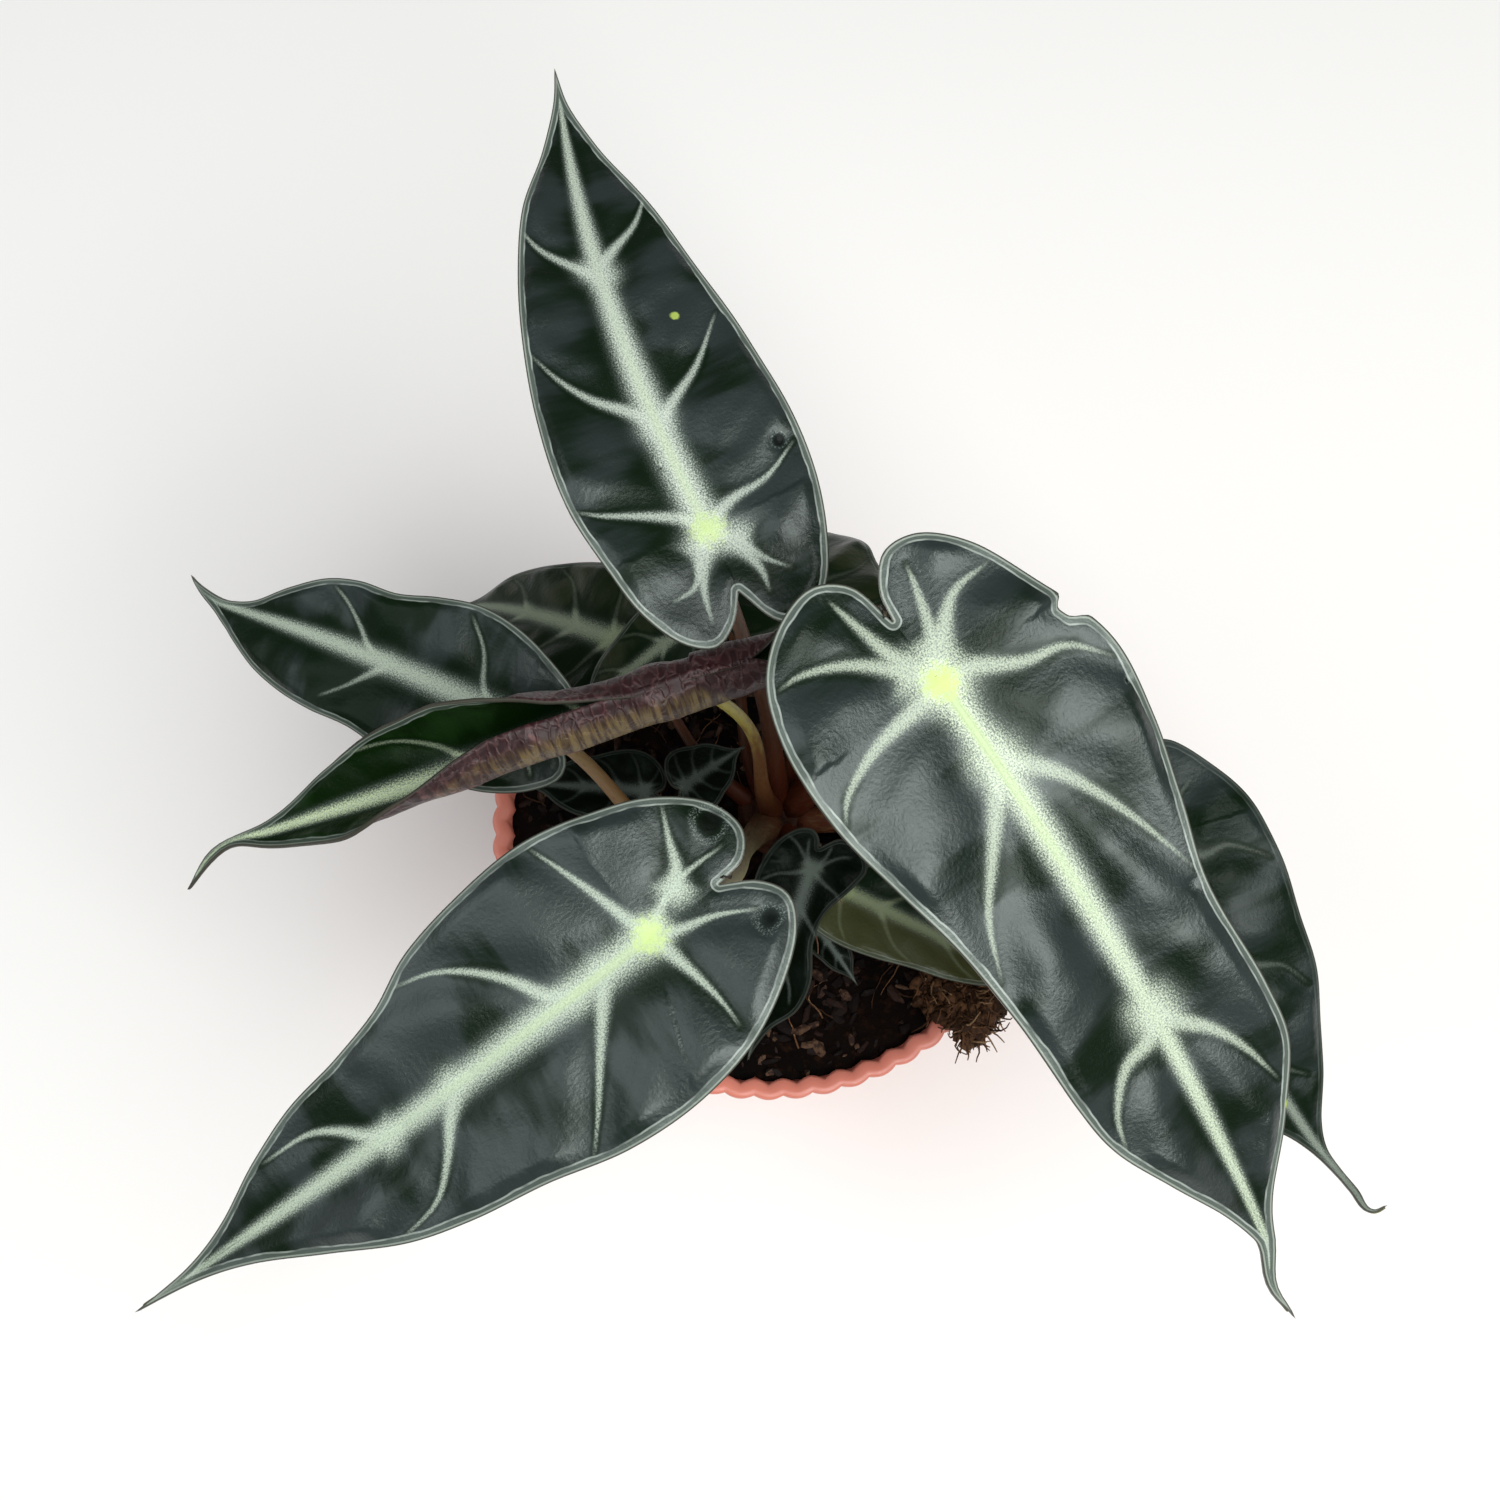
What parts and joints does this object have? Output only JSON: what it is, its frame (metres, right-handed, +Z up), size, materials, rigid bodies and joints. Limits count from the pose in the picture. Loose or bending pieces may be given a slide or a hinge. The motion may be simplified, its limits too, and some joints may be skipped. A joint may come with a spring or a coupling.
{
  "type": "potted arrow-leaf aroid",
  "caption": "Compact aroid house plant with arrow-shaped, pale-veined leaves on slender petioles, growing in soil in a fluted round nursery pot that stands on its flat base.",
  "frame": {"origin": "middle of the underside of the pot", "axes": "+Z up along the pot's axis, -Y towards the viewer, +X to the viewer's right"},
  "size_m": [0.2328, 0.2307, 0.2307],
  "materials": {
    "pot": "satin",
    "soil": "matte",
    "fibre": "matte",
    "crown": "matte",
    "leaf": "satin",
    "young_leaf": "satin",
    "petiole": "satin",
    "sheath": "matte"
  },
  "bodies": {
    "root": {"pot": "pot", "soil": "soil", "moss_tuft": "fibre", "crown_main": "crown", "crown_left": "crown", "crown_front": "crown", "sheath_rear": "sheath", "sheath_side": "sheath", "blade_back": "leaf", "blade_right": "leaf", "blade_front": "leaf", "blade_left": "leaf", "blade_young": "young_leaf", "blade_outer": "leaf", "blade_rear_left": "leaf", "blade_rear_inner": "leaf", "blade_rear_right": "leaf", "blade_low_right": "leaf", "blade_low_front": "leaf", "blade_low_middle": "leaf", "blade_low_left": "leaf", "blade_sprout": "leaf", "petiole_back": "petiole", "petiole_right": "petiole", "petiole_front": "petiole", "petiole_left": "petiole", "petiole_young": "petiole", "petiole_outer": "petiole", "petiole_rear_left": "petiole", "petiole_rear_inner": "petiole", "petiole_rear_right": "petiole", "petiole_low_right": "petiole", "petiole_low_front": "petiole", "petiole_low_middle": "petiole", "petiole_low_left": "petiole", "petiole_sprout": "petiole"}
  },
  "joints": []
}
